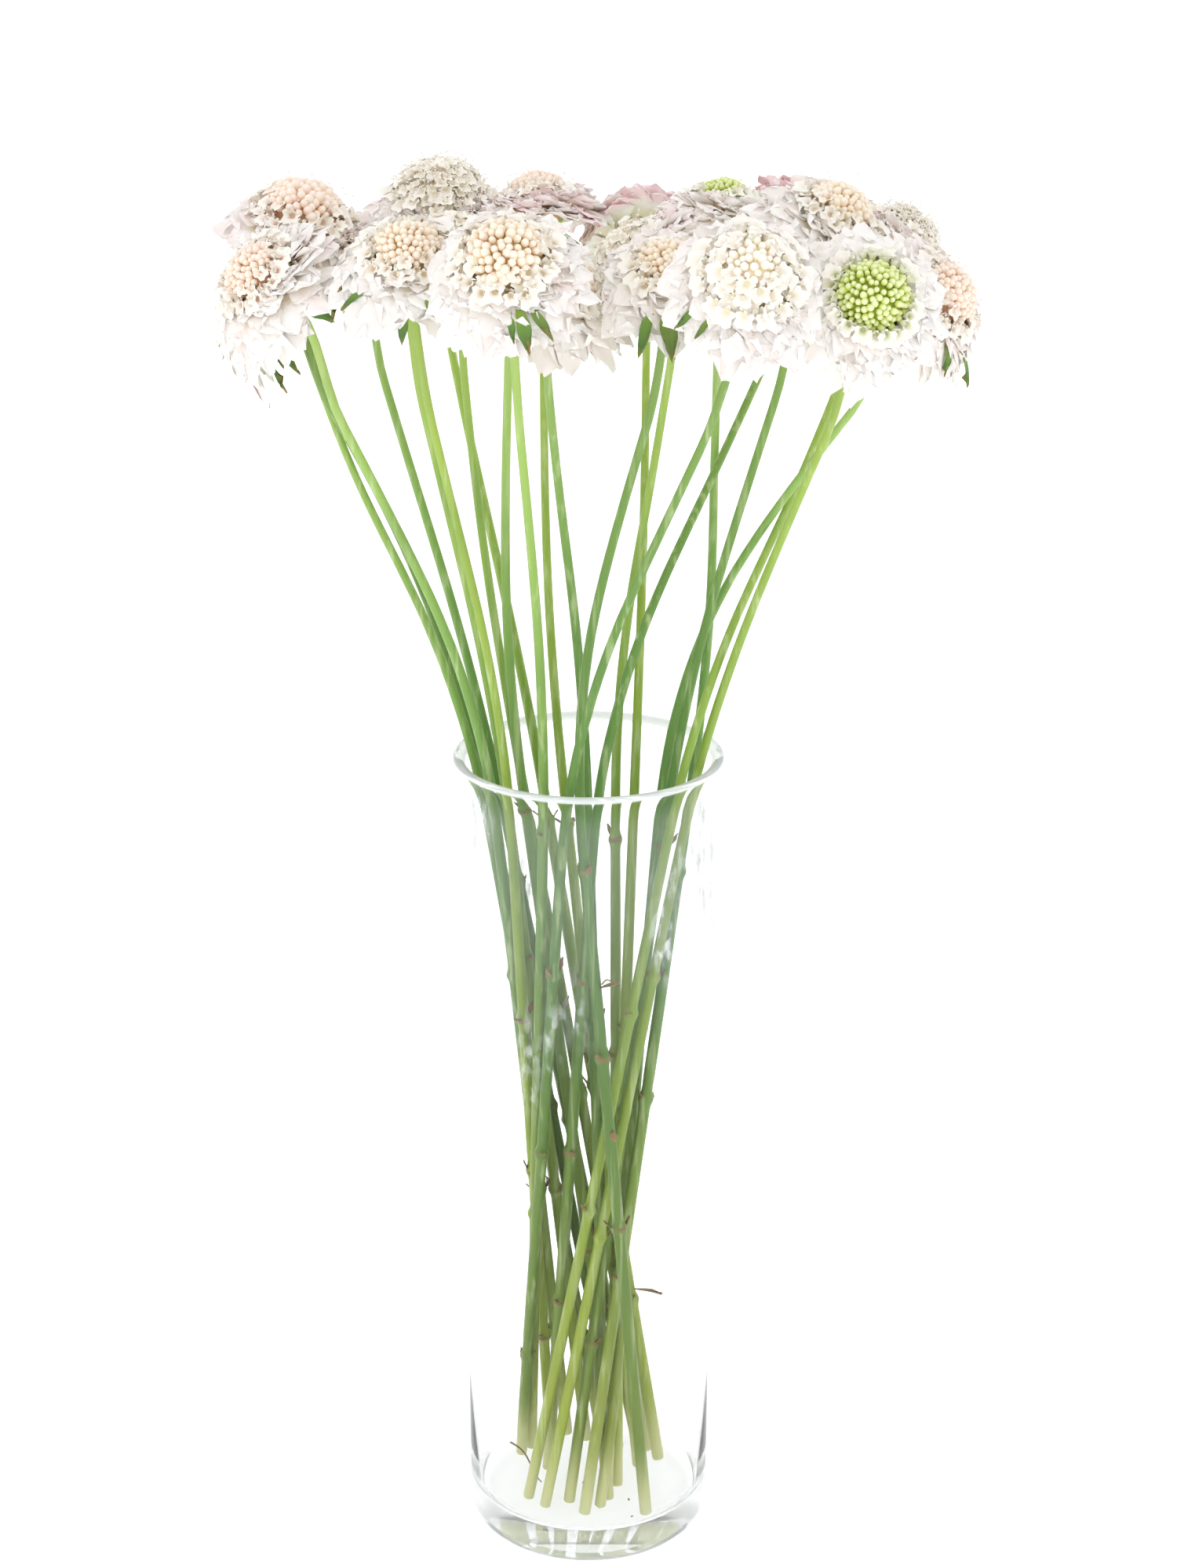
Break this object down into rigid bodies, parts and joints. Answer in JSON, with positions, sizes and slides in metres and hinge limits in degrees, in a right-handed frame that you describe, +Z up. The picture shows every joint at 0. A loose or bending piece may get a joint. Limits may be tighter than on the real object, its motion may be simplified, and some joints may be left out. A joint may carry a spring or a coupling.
{
  "type": "glass vase of cut scabiosa flowers",
  "caption": "Tall clear glass cylinder vase with a full bunch of long-stemmed white and pale pink scabiosa, their centres cream, salmon and lime green.",
  "frame": {"origin": "centre of the vase's flat underside, on the surface that it stands on", "axes": "+Z up along the vase; -Y is the front, which the picture shows; +X to that viewer's right"},
  "size_m": [0.2569, 0.1992, 0.5028],
  "materials": {
    "clear_glass": "polished",
    "stem_green": "satin",
    "petal_white": "matte",
    "buds_cream": "matte",
    "buds_salmon": "matte",
    "buds_lime": "matte"
  },
  "bodies": {
    "root": {"vase": "clear_glass", "stem_01": "stem_green", "stem_02": "stem_green", "stem_03": "stem_green", "stem_04": "stem_green", "stem_05": "stem_green", "stem_06": "stem_green", "stem_07": "stem_green", "stem_08": "stem_green", "stem_09": "stem_green", "stem_10": "stem_green", "stem_11": "stem_green", "stem_12": "stem_green", "stem_13": "stem_green", "stem_14": "stem_green", "stem_15": "stem_green", "stem_16": "stem_green", "stem_17": "stem_green", "stem_18": "stem_green", "stem_19": "stem_green", "stem_20": "stem_green", "stem_21": "stem_green", "stem_22": "stem_green", "bloom_01": "petal_white", "bloom_02": "petal_white", "bloom_03": "petal_white", "bloom_04": "petal_white", "bloom_05": "petal_white", "bloom_06": "petal_white", "bloom_07": "petal_white", "bloom_08": "petal_white", "bloom_09": "petal_white", "bloom_10": "petal_white", "bloom_11": "petal_white", "bloom_12": "petal_white", "bloom_13": "petal_white", "bloom_14": "petal_white", "bloom_15": "petal_white", "bloom_16": "petal_white", "bloom_17": "petal_white", "bloom_18": "petal_white", "bloom_19": "petal_white", "bloom_20": "petal_white", "bloom_21": "petal_white", "bloom_22": "petal_white", "buds_01": "buds_cream", "buds_02": "buds_salmon", "buds_03": "buds_salmon", "buds_04": "buds_cream", "buds_06": "buds_cream", "buds_07": "buds_salmon", "buds_08": "buds_cream", "buds_11": "buds_cream", "buds_13": "buds_lime", "buds_15": "buds_cream", "buds_16": "buds_lime", "buds_18": "buds_salmon", "buds_19": "buds_cream", "buds_20": "buds_salmon", "buds_22": "buds_cream"}
  },
  "joints": []
}
